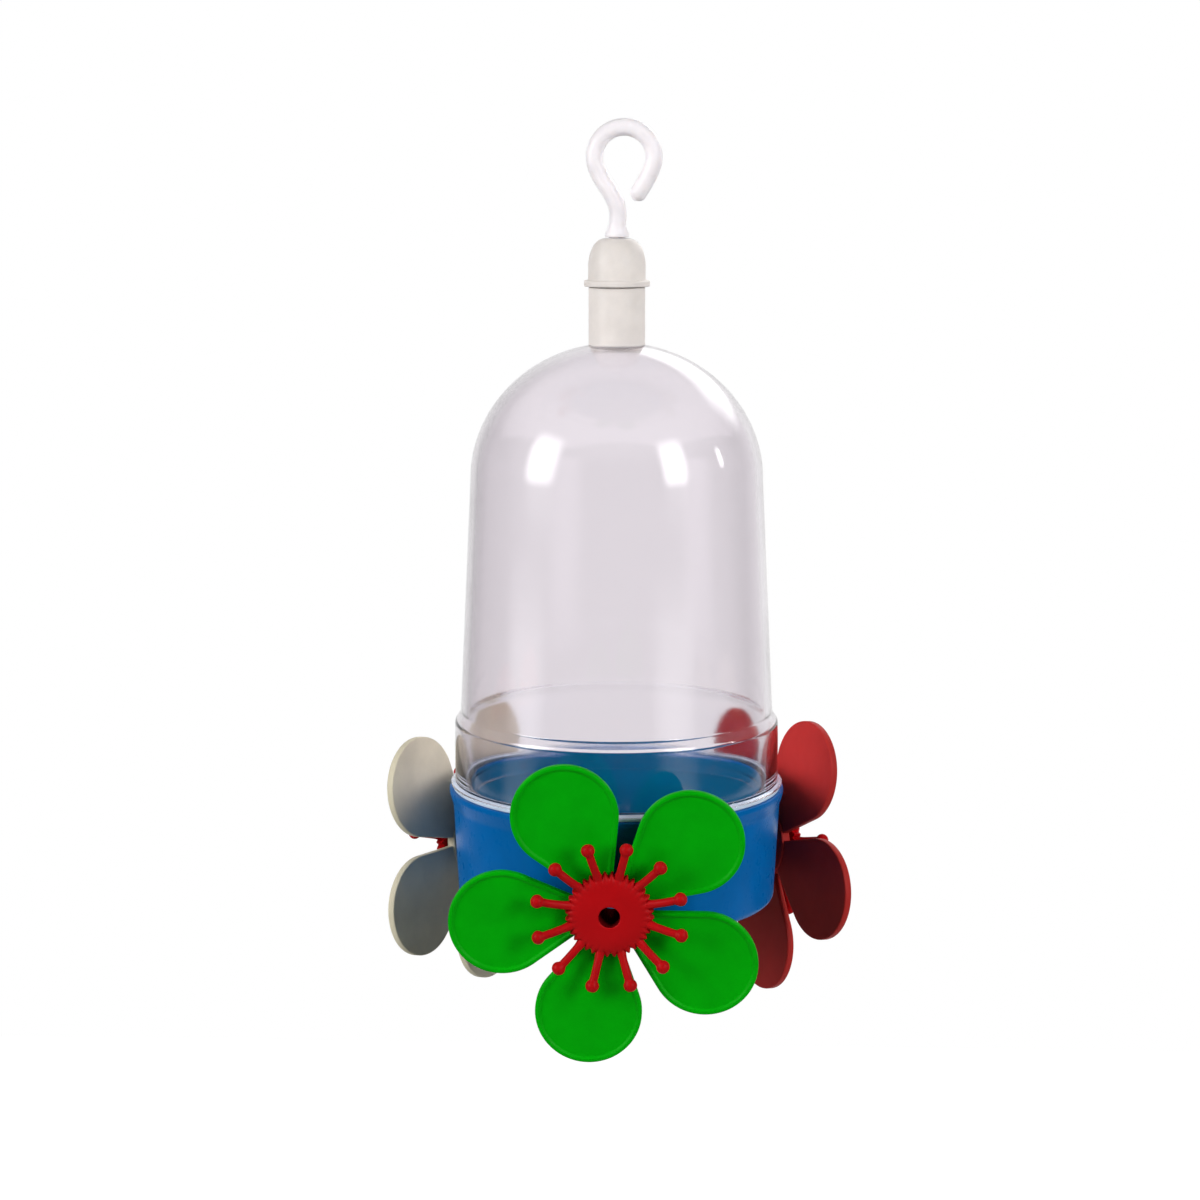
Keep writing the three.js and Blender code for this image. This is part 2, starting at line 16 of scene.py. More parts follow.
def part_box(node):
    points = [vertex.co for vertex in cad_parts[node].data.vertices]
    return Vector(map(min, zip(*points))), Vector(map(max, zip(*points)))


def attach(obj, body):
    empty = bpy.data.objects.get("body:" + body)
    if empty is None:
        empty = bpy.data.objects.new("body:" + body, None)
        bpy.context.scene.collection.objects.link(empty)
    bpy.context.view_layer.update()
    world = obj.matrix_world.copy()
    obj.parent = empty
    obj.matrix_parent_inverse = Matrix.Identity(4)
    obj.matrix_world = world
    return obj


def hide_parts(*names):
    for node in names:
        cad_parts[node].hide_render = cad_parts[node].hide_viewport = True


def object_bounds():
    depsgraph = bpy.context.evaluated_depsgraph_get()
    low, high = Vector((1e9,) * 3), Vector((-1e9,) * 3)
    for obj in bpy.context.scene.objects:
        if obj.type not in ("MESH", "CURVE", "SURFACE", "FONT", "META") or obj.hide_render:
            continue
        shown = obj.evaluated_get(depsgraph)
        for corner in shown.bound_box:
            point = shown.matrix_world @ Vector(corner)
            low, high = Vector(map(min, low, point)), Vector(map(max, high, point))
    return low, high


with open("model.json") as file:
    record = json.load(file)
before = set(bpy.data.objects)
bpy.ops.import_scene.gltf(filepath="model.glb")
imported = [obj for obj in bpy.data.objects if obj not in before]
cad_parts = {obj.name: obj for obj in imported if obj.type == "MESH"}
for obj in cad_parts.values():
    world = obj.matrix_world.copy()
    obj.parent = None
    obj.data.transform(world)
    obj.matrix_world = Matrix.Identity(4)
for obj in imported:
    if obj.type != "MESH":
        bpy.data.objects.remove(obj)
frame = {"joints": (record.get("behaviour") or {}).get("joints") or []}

cad_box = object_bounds()

MM = 0.001

# Camera, fitted to the photograph
VIEW_DISTANCE = 650.0
VIEW_AZIMUTH = 2.25  # degrees, towards +X
VIEW_ELEVATION = 8.99  # degrees
VIEW_HEIGHT = 74.16  # of the point looked at, above the underside
VIEW_SHIFT = -4.05  # of that point to the right
FOCAL_PIXELS = 2665.66
FRAME_PIXELS = 1200
SENSOR_WIDTH = 36.0
CLIP_START = 0.01  # metres

# Clear reservoir
RESERVOIR_WALL = 1.7
SEAT_GAP = 0.2  # the frame's clearance where one piece seats on another
SKIRT_OVERHANG = 1.6  # of the skirt past the foot that screws into the base
SKIRT_HEIGHT = 14.8
LIP_OVERHANG = 1.1  # of the lip past the skirt
LIP_HEIGHT = 0.6
LIP_EDGE = 0.3  # height of the lip's upright edge
STEP_HEIGHT = 5.5  # of the stretch that holds the step
STEP_INSET = 1.5
STEP_SLOPE = math.radians(35)  # from upright
STEP_ROUNDING = 0.5
BODY_HEIGHT = 55.5
BODY_TAPER = 2.7
DOME_RISE = 32.7
LAND_RADIUS = 7.5  # of the flat land at the foot of the neck
LAND_ROUNDING = 1.2
NECK_RADIUS = 4.85
NECK_WALL = 1.5
THREAD_PITCH = 3.6
THREAD_HEIGHT = 0.2
THREAD_WIDTH = 1.44
THREAD_START = 0.5  # above the foot's lower edge
THREAD_STOP = 0.1  # below the base's rim

# Blue base and the seal on its rim
BASE_FOOT_RADIUS = 38.8
BASE_TOP_RADIUS = 40.1
BASE_WALL = 1.8
BASE_FLOOR = 2.0
FOOT_ROUNDING = 2.0
FOOT_RING_WIDTH = 3.0
FOOT_RECESS = 0.8
RIM_EDGE = 1.2  # height of the bead round the rim
RIM_FLARE = 3.0  # height over which the wall spreads to the bead
RIM_FLARE_ROUNDING = 6.0
RIM_BEAD_ROUNDING = 1.5
SOCKET_DEPTH = 6.0
SOCKET_CHAMFER_DEPTH = 0.35
SOCKET_CHAMFER_WIDTH = 0.4
SPOUT_PROJECTION = 3.3
SPOUT_ROOT = 20.0  # how far inside the base's wall a spout starts
SPOUT_RADIUS = 5.6
SPOUT_BORE = 4.3
SPOUT_FLARE = 1.2
SPOUT_CHAMFER_DEPTH = 0.5
SPOUT_CHAMFER_WIDTH = 0.35
GATE_RADIUS = 2.2
GATE_HEIGHT = 0.35
GATE_SPREAD = 0.4
GATE_ROOT = 0.2  # how far the gate mark is sunk into the floor
SEAL_GAP = 0.25  # beside the reservoir's foot
SEAL_INSET = 0.5  # from the frame's seal
SEAL_CONTACT = 0.03  # how far the seal stands off the rim and is pressed into the lip

# Flowers
FLOWERS = (  # place, colour, turn in degrees
    ("front", "green", 42.4),
    ("right", "red", 51.0),
    ("left", "white", 43.0),
)
PETAL_COUNT = 5
PETAL_RADIUS = 12.5
PETAL_REACH = 25.2  # from the flower's axis to the middle of a petal's round end
PETAL_ROOT_RADIUS = 3.4
PETAL_ROOT_REACH = 7.0
PETAL_THICKNESS = 1.5
PETAL_CUP = 0.8  # rise of the petals' tips
PETAL_BEAD = 0.4
PETAL_BEAD_FOOT = 1.4  # from the outline to where the bead rises from the face
PETAL_BEAD_CREST = 0.85  # and to its crest
PETAL_FACE_INSET = 1.9  # where the plain face starts
PETAL_BACK_INSET = 0.5
FLOWER_HUB_RADIUS = 8.6
FLOWER_HUB_BACK = 0.3
FLOWER_HUB_FRONT = 2.7
FLOWER_BORE = 4.35

# Nozzles
NOZZLE_BORE = 2.45
MOUTH_DEPTH = 1.0
TUBE_RADIUS = 4.05
TUBE_END = -6.3
TUBE_CHAMFER = 0.6
CROWN_BACK = 3.0
CROWN_RADIUS = 10.3
CROWN_EDGE = 1.5
CROWN_RISE = 3.4
CROWN_LIP = 0.8  # flat width round the mouth
CROWN_FLUTES = 36
CROWN_FLUTE_DEPTH = 1.0
CROWN_SMOOTH_RADIUS = 6.4  # inside which the crown has no flutes
FILAMENT_COUNT = 12
FILAMENT_TURN = 16.5  # degrees from level to the first one
FILAMENT_REACH = 18.6
FILAMENT_LIFT = 3.8
FILAMENT_ROOT_RADIUS = 1.3
FILAMENT_ROOT_SHARE = 0.25  # of its length, over which the root narrows
FILAMENT_RADIUS = 0.95
FILAMENT_TIP_RADIUS = 0.12
ANTHER_RADIUS = 1.6
ANTHER_PLACE = 0.84  # share of the filament's length to the anther's middle

# Sleeve, cap and hook
SLEEVE_BORE = 5.1
SLEEVE_TOP = 2.8
SLEEVE_SEAT = 0.02  # gap left under the sleeve
SPIGOT_RADIUS = 5.15
SPIGOT_HEIGHT = 2.6
CAP_RADIUS = 6.9
CAP_BORE = 5.4
CAP_SIDE = 4.8
CAP_FACE_RADIUS = 3.0
CAP_CEILING = 2.4
CAP_CHAMFER = 2.5
CAP_SEAT = 1.7  # width of the ring that the hook's head bears on
CAP_FLANGE_HEIGHT = 1.5
STEM_HOLE = 2.3
HOOK_WIRE = 2.0  # radius
HOOK_HEAD_RADIUS = 3.7
HOOK_HEAD_HEIGHT = 2.0
HOOK_FOOT_GAP = 0.3
HOOK_FOOT_RADIUS = 2.9
HOOK_FOOT_EDGE = 0.8
HOOK_FOOT_HEIGHT = 5.0
HOOK_FOOT_TOP_RADIUS = 1.2  # where the foot ends inside the wire
HOOK_STEM = 7.5
HOOK_TIP = 7.6
HOOK_TIP_FLAT = 0.12  # share of the wire's radius left flat at the tip
EYE_RADIUS = 7.1
EYE_RISE = 11.63
EYE_OFFSET = 1.7
EYE_START = 213.0  # degrees
EYE_END = -30.0  # degrees
EYE_STEPS = 9
PARTING_RIDGE = 0.07
PARTING_WIDTH = 0.14  # sine of the angle over which the ridge falls off

# Fillets, cuts and tolerances
CRISP = 0.12
FINE = 0.25
SOFT = 0.4
FULL = 0.6
FILLET_SHARE = 0.49  # the most of an edge that a fillet at one end takes
CHAMFER_PAST = 0.1  # how far a chamfer's slope is cut past the face it opens on
CUT_PAST = 1.0  # and how far the whole cut goes on
ON_WALL = 0.05  # how far off a wall a face may lie and still belong to it
ON_AXIS = 1e-6  # a smaller radius counts as none
WELD = 1e-5  # in a mesh's own units

# Facets
LARGE_SIDES = 192
SMALL_SIDES = 96
CROWN_SIDES = 8 * CROWN_FLUTES
PETAL_SIDES = 112
STEM_SIDES = 64
HOOK_SIDES = 48
FILAMENT_SIDES = 20
DOME_STEPS = 48
CAP_STEPS = 16
CROWN_STEPS = 14
SPLINE_STEPS = 12
FILLET_STEPS = 6
PETAL_EDGE_STEPS = 3
THREAD_RINGS = 22
FILAMENT_RINGS = 34
PETAL_FACE_RINGS = (0.25, 0.5, 0.75, 0.9)  # shares of the way from the middle to the edge
PETAL_BACK_RINGS = (0.8, 0.5, 0.25)
SMOOTH_ANGLE = math.radians(38)

# Colours, in the 0 to 255 values of a picture
BLUE = (0, 94, 163)
# Painted shade: the inside of the base is a darker, more teal blue than its outside
INSIDE_SHADE_BLUE = (0, 96, 135)
GREEN = (0, 158, 5)
RED = (166, 44, 41)
WHITE = (210, 203, 179)
NOZZLE_RED = (170, 12, 17)
# Painted shade: the nozzle's bore is a darker red than the nozzle
BORE_SHADE_RED = (84, 5, 8)
IVORY = (225, 218, 213)
MILKY = (241, 236, 239)
SEAL_PALE = (196, 212, 226)

# Moulded plastic: scales are noise cells to a metre
CLOUD_SCALE = 140
CLOUD_DETAIL = 4
CLOUD_TINTS = (0.93, 1.06)
SHEEN_SCALE = 420
SHEEN_DETAIL = 3
SHEEN_SPREAD = (-0.05, 0.06)  # added to a plastic's roughness
GRAIN_SCALE = 2600
GRAIN_DETAIL = 2
GRAIN_DEPTH = 0.0002
NOISE_ROUGHNESS = 0.55
NOISE_SPAN = (0.3, 0.7)  # where most of a noise's values lie
SCATTER_RADIUS = (1.0, 0.9, 0.8)
SCATTER_SCALE = 0.0025

# Clear plastic
CLEAR_TINT = (0.965, 0.938, 0.962, 1)
CLEAR_IOR = 1.49
CLEAR_ROUGHNESS = (0.04, 0.1)
STREAK_SCALE = 60
STREAK_DETAIL = 3
STREAK_SPAN = (0.35, 0.75)
WAVE_SCALE = 45
WAVE_DETAIL = 2
WAVE_STRENGTH = 0.04
WAVE_DEPTH = 0.0005
CLEAR_SHADOW = (0.95, 0.94, 0.955, 1)
ABSORPTION_TINT = (0.5, 0.43, 0.5, 1)
ABSORPTION_DENSITY = 60.0

# Light: a pale room, two tall softboxes in front at the sides, a small one at the right and one behind
LIGHT_DISTANCE = 0.9
SOFT_EDGE = 0.35  # share of a softbox over which it fades, at each side
SOFTBOXES = (  # name, azimuth and elevation in degrees, width, height, radiance
    ("softbox_left", -60, 19, 0.54, 0.80, 5.6),
    ("softbox_right", 48, 19, 0.42, 0.76, 6.3),
    ("softbox_back", 150, 32, 1.0, 0.5, 1.7),
    ("softbox_small", 92, 16, 0.1, 0.26, 6.0),
)
AMBIENT = 0.05
ROOM = 0.05
BACKDROP_AZIMUTH = 175
BACKDROP_DIM = math.cos(math.radians(62))
BACKDROP_WHITE = math.cos(math.radians(16))
CEILING = 0.7
CEILING_EDGE = (0.2, 0.75)  # sines of the elevations over which it comes in
GLOW = 1.4
GLOW_AZIMUTHS = (-70, 46)
GLOW_EDGE = math.cos(math.radians(22))
GLOW_MIDDLE = math.cos(math.radians(6))
GLOW_ABOVE = (-0.08, -0.14)  # sines of the elevations over which it comes in from above
GLOW_BELOW = (-0.25, -0.19)  # and from below
FLOOR_DROP = 0.26
FLOOR_SIZE = 1.5
FLOOR_GREY = (0.42, 0.42, 0.42, 1)
FLOOR_ROUGHNESS = 0.9
FLOOR_GLOW = 1.3
FLOOR_GLOW_SHARE = 0.8


# Places of the pieces, from the frame
def span(node):
    """Lowest and highest corner of a CAD node, in millimetres."""
    low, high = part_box(node)
    return low / MM, high / MM


base_low, base_high = span("base_cup")
underside = base_low.z
rim = base_high.z - underside
rim_radius = base_high.x
dome_low, dome_high = span("reservoir_dome")
insert_bottom = dome_low.z - underside
neck_top = dome_high.z - underside
lip_radius = dome_high.x
skirt_radius = lip_radius - LIP_OVERHANG
insert_radius = skirt_radius - SKIRT_OVERHANG
seal_high = span("seal_ring")[1]
lip_bottom = seal_high.z - underside + SEAT_GAP
lip_top = lip_bottom + LIP_HEIGHT
sleeve_low, sleeve_high = span("neck_sleeve")
sleeve_bottom = sleeve_low.z - underside
sleeve_top = sleeve_high.z - underside - SPIGOT_HEIGHT
sleeve_radius = sleeve_high.x
cap_low, cap_high = span("hanger_cap")
cap_bottom = cap_low.z - underside
cap_top = cap_high.z - underside
cap_flange = cap_high.x
head_bottom = span("hook")[0].z - underside
joints = {joint["name"]: joint for joint in frame["joints"]}


def spout_frame(place):
    """The matrix of a spout's own millimetres: +Z out along its axis, +Y up, origin at its open end."""
    joint = joints[f"flower_spin_{place}"]
    out = Vector(joint["axis"]).normalized()
    right = Vector((0, 0, 1)).cross(out).normalized()
    up = out.cross(right)
    origin = Vector(joint["pos_m"]) + out * SPOUT_PROJECTION * MM
    turned = Matrix((right, up, out)).transposed().to_4x4()
    return Matrix.Translation(origin) @ turned @ Matrix.Scale(MM, 4)


upright = Matrix.Translation((0, 0, underside * MM)) @ Matrix.Scale(MM, 4)


# Profiles
def rounded(corners, closed=False, steps=FILLET_STEPS):
    """A profile of (radius, height) points from (radius, height, fillet) corners."""
    points = []
    count = len(corners)
    for index, (radius, height, fillet) in enumerate(corners):
        here = np.array((radius, height), float)
        at_end = not closed and index in (0, count - 1)
        if fillet == 0 or at_end:
            points.append(here)
            continue
        before = np.array(corners[index - 1][:2], float) - here
        after = np.array(corners[(index + 1) % count][:2], float) - here
        length_before, length_after = np.linalg.norm(before), np.linalg.norm(after)
        before, after = before / length_before, after / length_after
        half = math.acos(float(np.clip(before @ after, -1, 1))) / 2
        tangent = min(fillet / math.tan(half), FILLET_SHARE * min(length_before, length_after))
        bisector = (before + after) / np.linalg.norm(before + after)
        centre = here + bisector * tangent / math.cos(half)
        start = here + before * tangent - centre
        stop = here + after * tangent - centre
        turn = math.atan2(start[0] * stop[1] - start[1] * stop[0], float(start @ stop))
        for angle in np.linspace(0, turn, steps + 1):
            cosine, sine = math.cos(angle), math.sin(angle)
            points.append(centre + np.array(((cosine, -sine), (sine, cosine))) @ start)
    return points


def arc(centre, radius_out, radius_up, first, last, steps):
    """Points of an elliptical arc in a profile, with angles in degrees from the outward direction."""
    points = []
    for angle in np.radians(np.linspace(first, last, steps + 1)):
        points.append(np.array(centre) + (radius_out * math.cos(angle), radius_up * math.sin(angle)))
    return points


def between(first, last, start, end, at):
    """The point that a parameter has reached on its way from start to end."""
    return ((end - at) * first + (at - start) * last) / (end - start)


def spline(points):
    """A centripetal Catmull-Rom curve through points."""
    points = [np.array(point, float) for point in points]
    points = [2 * points[0] - points[1], *points, 2 * points[-1] - points[-2]]
    line = []
    for four in zip(points, points[1:], points[2:], points[3:]):
        knots = [0.0]
        for first, second in zip(four, four[1:]):
            knots.append(knots[-1] + math.sqrt(np.linalg.norm(second - first)))
        for at in np.linspace(knots[1], knots[2], SPLINE_STEPS, endpoint=False):
            sides = [between(four[i], four[i + 1], knots[i], knots[i + 1], at) for i in range(3)]
            bends = [between(sides[i], sides[i + 1], knots[i], knots[i + 2], at) for i in range(2)]
            line.append(between(*bends, knots[1], knots[2], at))
    line.append(points[-2])
    return line


# Mesh tools
def new_object(name, data):
    """An object for a mesh, lamp or camera, in the scene."""
    thing = bpy.data.objects.new(name, data)
    bpy.context.scene.collection.objects.link(thing)
    return thing


def new_piece(name, vertices, faces):
    mesh = bpy.data.meshes.new(name)
    mesh.from_pydata([tuple(vertex) for vertex in vertices], [], faces)
    mesh.validate()
    return new_object(name, mesh)


def lathe(name, profile, sides, shift=lambda radius, height, angle: 0.0):
    """A closed surface of revolution about Z. The profile is a loop, or has both ends on the axis.
    shift(radius, height, angle) gives a vertex's change of radius."""
    vertices, rings, faces = [], [], []
    for radius, height in profile:
        if radius < ON_AXIS:
            rings.append([len(vertices)] * sides)
            vertices.append((0, 0, height))
            continue
        rings.append(list(range(len(vertices), len(vertices) + sides)))
        for side in range(sides):
            angle = 2 * math.pi * side / sides
            reach = radius + shift(radius, height, angle)
            vertices.append((reach * math.cos(angle), reach * math.sin(angle), height))
    pairs = list(zip(rings, rings[1:]))
    if profile[0][0] >= ON_AXIS:
        pairs.append((rings[-1], rings[0]))
    for low, high in pairs:
        for side in range(sides):
            following = (side + 1) % sides
            corners = [low[side], low[following], high[following], high[side]]
            face = list(dict.fromkeys(corners))
            if len(face) > 2:
                faces.append(face)
    return new_piece(name, vertices, faces)


def sweep(name, line, radii, sides, section=lambda angle: 1.0):
    """A closed tube along a line of points in the XZ plane. section(angle) scales its radius around."""
    line = [Vector(point) for point in line]
    across = Vector((0, 1, 0))
    vertices, faces = [], []
    for index, (point, radius) in enumerate(zip(line, radii)):
        tangent = line[min(index + 1, len(line) - 1)] - line[max(index - 1, 0)]
        normal = across.cross(tangent).normalized()
        for side in range(sides):
            angle = 2 * math.pi * side / sides
            reach = radius * section(angle)
            vertices.append(point + normal * reach * math.cos(angle) + across * reach * math.sin(angle))
    for ring in range(len(line) - 1):
        for side in range(sides):
            following = (side + 1) % sides
            here, beyond = ring * sides, (ring + 1) * sides
            faces.append([here + side, here + following, beyond + following, beyond + side])
    last = (len(line) - 1) * sides
    faces.append(list(range(sides))[::-1])
    faces.append(list(range(last, last + sides)))
    return new_piece(name, vertices, faces)


def settle(piece):
    """Replaces a piece's mesh by what its modifiers make of it."""
    graph = bpy.context.evaluated_depsgraph_get()
    mesh = bpy.data.meshes.new_from_object(piece.evaluated_get(graph))
    old = piece.data
    piece.modifiers.clear()
    piece.data = mesh
    bpy.data.meshes.remove(old)


def combine(piece, other, operation):
    """Joins another closed mesh to a piece, or cuts it out, and removes it."""
    cut = piece.modifiers.new("combine", "BOOLEAN")
    cut.operation = operation
    cut.solver = "EXACT"
    cut.object = other
    settle(piece)
    mesh = other.data
    bpy.data.objects.remove(other)
    bpy.data.meshes.remove(mesh)


def move(piece, matrix):
    piece.data.transform(matrix)
    return piece


def face_out(piece):
    """Welds a piece's doubled vertices and turns its faces outwards."""
    shape = bmesh.new()
    shape.from_mesh(piece.data)
    bmesh.ops.remove_doubles(shape, verts=shape.verts, dist=WELD)
    bmesh.ops.recalc_face_normals(shape, faces=shape.faces)
    shape.to_mesh(piece.data)
    shape.free()
    return piece


def dress(piece, body, node, material):
    """Finishes a piece: smooth faces with sharp edges kept, its material, and its place in the frame."""
    face_out(piece)
    piece.data.shade_smooth()
    piece.data.set_sharp_from_angle(angle=SMOOTH_ANGLE)
    piece.data.materials.clear()
    piece.data.materials.append(material)
    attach(piece, body)
    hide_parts(node)


def paint_hollow_shade(piece, own, radius, bottom, material):
    """Gives the faces inside a radius about a piece's own axis, and above a height, a second material: a
    darker one that paints shade into the hollow.
    """
    piece.data.materials.append(material)
    back = own.inverted()
    for face in piece.data.polygons:
        spot = back @ face.center
        if math.hypot(spot.x, spot.y) < radius + ON_WALL and spot.z > bottom:
            face.material_index = 1


# Shader tools
def fill(node, **inputs):
    """Sets a node's sockets. An underscore stands for a space in a socket's name."""
    for name, value in inputs.items():
        node.inputs[name.replace("_", " ")].default_value = value


def calculate(tree, operation, first, second):
    """A math node on two sockets or numbers."""
    node = tree.nodes.new("ShaderNodeMath")
    node.operation = operation
    for socket, value in zip(node.inputs, (first, second)):
        if isinstance(value, (int, float)):
            socket.default_value = value
        else:
            tree.links.new(value, socket)
    return node.outputs["Value"]


def fade(tree, value, start, end, low=0.0, high=1.0, interpolation="SMOOTHSTEP"):
    """Goes from low to high while a value goes from start to end."""
    node = tree.nodes.new("ShaderNodeMapRange")
    node.interpolation_type = interpolation
    fill(node, From_Min=start, From_Max=end, To_Min=low, To_Max=high)
    tree.links.new(value, node.inputs["Value"])
    return node.outputs["Result"]


class Nodes:
    """A material's node tree, with short ways to add and link nodes."""

    def __init__(self, name):
        self.material = bpy.data.materials.new(name)
        self.material.use_nodes = True
        self.tree = self.material.node_tree
        self.principled = self.tree.nodes["Principled BSDF"]
        self.output = self.tree.nodes["Material Output"]

    def add(self, kind, **inputs):
        node = self.tree.nodes.new(kind)
        fill(node, **inputs)
        return node

    def link(self, source, target):
        self.tree.links.new(source, target)

    def noise(self, scale, detail):
        place = self.add("ShaderNodeTexCoord")
        noise = self.add("ShaderNodeTexNoise", Scale=scale, Detail=detail, Roughness=NOISE_ROUGHNESS)
        self.link(place.outputs["Object"], noise.inputs["Vector"])
        return noise.outputs["Fac"]

    def spread(self, source, limits, to):
        """Stretches the values between two limits to two others."""
        return fade(self.tree, source, *limits, *to, interpolation="LINEAR")

    def mix(self, factor, first, second):
        """A colour between two. Its sockets go by number, as other kinds of data have the same names."""
        mixed = self.tree.nodes.new("ShaderNodeMix")
        mixed.data_type = "RGBA"
        self.link(factor, mixed.inputs["Factor"])
        mixed.inputs[6].default_value = first
        mixed.inputs[7].default_value = second
        return mixed.outputs[2]

    def bump(self, height, strength, depth):
        bump = self.add("ShaderNodeBump", Strength=strength, Distance=depth)
        self.link(height, bump.inputs["Height"])
        self.link(bump.outputs["Normal"], self.principled.inputs["Normal"])

    def surface(self, factor, first, second):
        """Mixes two shaders for the surface."""
        mixed = self.add("ShaderNodeMixShader")
        for source, socket in zip((factor, first, second), mixed.inputs):
            self.link(source, socket)
        self.link(mixed.outputs["Shader"], self.output.inputs["Surface"])


# Materials
def srgb(colour):
    """A linear colour from the 0 to 255 values of a picture, by the sRGB curve."""
    linear = []
    for value in colour:
        share = value / 255
        linear.append(share / 12.92 if share <= 0.04045 else ((share + 0.055) / 1.055) ** 2.4)
    return (*linear, 1.0)


def tinted(colour, factor):
    return (*(min(1.0, channel * factor) for channel in colour[:3]), 1.0)


def moulded(name, colour, roughness, grain, gloss, subsurface=0.0):
    """Moulded plastic: faint cloudiness in its colour, uneven gloss and a fine mould grain."""
    nodes = Nodes(name)
    skin = nodes.principled
    deep, pale = (tinted(srgb(colour), tint) for tint in CLOUD_TINTS)
    cloud = nodes.spread(nodes.noise(CLOUD_SCALE, CLOUD_DETAIL), NOISE_SPAN, (0, 1))
    nodes.link(nodes.mix(cloud, deep, pale), skin.inputs["Base Color"])
    uneven = [roughness + change for change in SHEEN_SPREAD]
    sheen = nodes.spread(nodes.noise(SHEEN_SCALE, SHEEN_DETAIL), NOISE_SPAN, uneven)
    nodes.link(sheen, skin.inputs["Roughness"])
    nodes.bump(nodes.noise(GRAIN_SCALE, GRAIN_DETAIL), grain, GRAIN_DEPTH)
    fill(skin, Specular_IOR_Level=gloss)
    if subsurface:
        fill(skin, Subsurface_Weight=subsurface, Subsurface_Radius=SCATTER_RADIUS,
             Subsurface_Scale=SCATTER_SCALE)
    return nodes.material


def clear_plastic(name):
    """Clear plastic with a faint lilac cast, which lets lamps through."""
    nodes = Nodes(name)
    skin = nodes.principled
    fill(skin, Base_Color=CLEAR_TINT, Transmission_Weight=1.0, IOR=CLEAR_IOR)
    streaks = nodes.spread(nodes.noise(STREAK_SCALE, STREAK_DETAIL), STREAK_SPAN, CLEAR_ROUGHNESS)
    nodes.link(streaks, skin.inputs["Roughness"])
    nodes.bump(nodes.noise(WAVE_SCALE, WAVE_DETAIL), WAVE_STRENGTH, WAVE_DEPTH)
    path = nodes.add("ShaderNodeLightPath")
    passing = nodes.add("ShaderNodeBsdfTransparent", Color=CLEAR_SHADOW)
    nodes.surface(path.outputs["Is Shadow Ray"], skin.outputs["BSDF"], passing.outputs["BSDF"])
    inside = nodes.add("ShaderNodeVolumeAbsorption", Color=ABSORPTION_TINT, Density=ABSORPTION_DENSITY)
    nodes.link(inside.outputs["Volume"], nodes.output.inputs["Volume"])
    return nodes.material


clear = clear_plastic("clear_plastic")
blue = moulded("blue_plastic", BLUE, roughness=0.3, grain=0.012, gloss=0.05)
# Painted shade for the faces inside the base
inside_shade_blue = moulded("blue_inside_painted_shade", INSIDE_SHADE_BLUE, roughness=0.3, grain=0.012, gloss=0.05)
petal_plastic = {
    "green": moulded("green_petals", GREEN, roughness=0.45, grain=0.08, gloss=0.05),
    "red": moulded("red_petals", RED, roughness=0.45, grain=0.08, gloss=0.05),
    "white": moulded("white_petals", WHITE, roughness=0.48, grain=0.08, gloss=0.05),
}
nozzle_red = moulded("nozzle_red", NOZZLE_RED, roughness=0.42, grain=0.06, gloss=0.05)
# Painted shade for the nozzle's bore, which is also matte and without gloss
nozzle_bore_shade = moulded("nozzle_bore_shade", BORE_SHADE_RED, roughness=0.7, grain=0.1, gloss=0.0)
ivory = moulded("ivory_plastic", IVORY, roughness=0.4, grain=0.05, gloss=0.2, subsurface=0.15)
milky = moulded("hook_plastic", MILKY, roughness=0.32, grain=0.03, gloss=0.25, subsurface=0.3)
seal_rubber = moulded("seal_rubber", SEAL_PALE, roughness=0.6, grain=0.1, gloss=0.15, subsurface=0.2)


# Reservoir
skirt_top = rim + SKIRT_HEIGHT
skirt_inner = skirt_radius - RESERVOIR_WALL
step_middle = skirt_top + STEP_HEIGHT / 2
wide_rounding = STEP_ROUNDING + RESERVOIR_WALL
body_low = skirt_radius - STEP_INSET
body_high = body_low - BODY_TAPER
dome_middle = (0, skirt_top + STEP_HEIGHT + BODY_HEIGHT)
land_top = sleeve_bottom - SEAT_GAP


def step_profile(upper, lower, middle, upper_rounding, lower_rounding):
    """The slope between the body and the skirt, from its upper end to its lower one."""
    half = (lower - upper) / math.tan(STEP_SLOPE) / 2
    ends = STEP_HEIGHT / 2
    return rounded([
        (upper, middle + ends, 0),
        (upper, middle + half, upper_rounding),
        (lower, middle - half, lower_rounding),
        (lower, middle - ends, 0),
    ])


def thread(radius, height, angle):
    """Radius added by the screw thread on the reservoir's foot."""
    if radius <= insert_radius - ON_WALL or height >= rim:
        return 0.0
    turn = (height - insert_bottom) / THREAD_PITCH - angle / (2 * math.pi)
    from_crest = abs(turn - math.floor(turn) - 0.5) * THREAD_PITCH
    return THREAD_HEIGHT * max(0.0, 1 - from_crest / (THREAD_WIDTH / 2))


def reservoir_inside():
    """The inner profile, from the neck's closed top down to the skirt."""
    neck_inner = NECK_RADIUS - NECK_WALL
    dome_inner = body_high - RESERVOIR_WALL
    neck_angle = math.degrees(math.acos(neck_inner / dome_inner))
    neck = rounded([
        (0, neck_top - NECK_WALL, 0),
        (neck_inner, neck_top - NECK_WALL, FULL),
        (neck_inner, land_top, 0),
    ])
    dome = arc(dome_middle, dome_inner, DOME_RISE - RESERVOIR_WALL, neck_angle, 0, DOME_STEPS)
    middle = step_middle - RESERVOIR_WALL * math.tan(STEP_SLOPE / 2)
    step = step_profile(body_low - RESERVOIR_WALL, skirt_inner, middle, wide_rounding, STEP_ROUNDING)
    return [*neck, *dome, *step]


